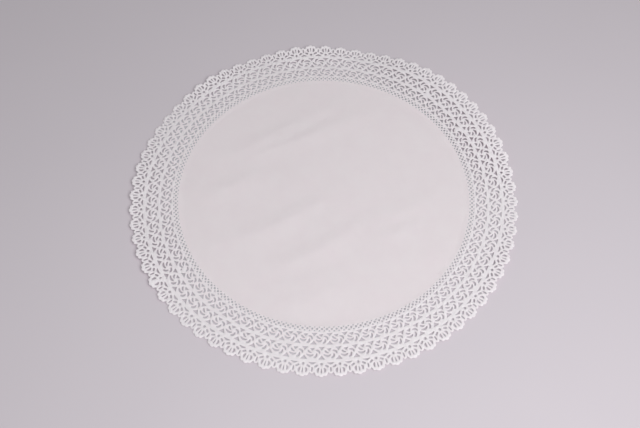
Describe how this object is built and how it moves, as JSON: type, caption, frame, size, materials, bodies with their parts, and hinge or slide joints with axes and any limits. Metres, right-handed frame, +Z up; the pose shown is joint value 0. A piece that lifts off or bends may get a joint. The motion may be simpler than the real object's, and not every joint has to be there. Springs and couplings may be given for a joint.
{
  "type": "lace doily",
  "caption": "Round die-cut paper lace doily: plain centre, diamond mesh band, rings of pinwheels and a scalloped edge of small fans. Lies flat under a plate or cake.",
  "frame": {"origin": "centre of the doily, on the surface that it lies on", "axes": "+Z up through the middle of the sheet; +X to the right and +Y away from someone at the table"},
  "size_m": [0.2998, 0.3, 0.001],
  "materials": {
    "paper": "matte white paper, embossed along every strand of the lace"
  },
  "bodies": {
    "root": {"doily": "paper"}
  },
  "joints": []
}
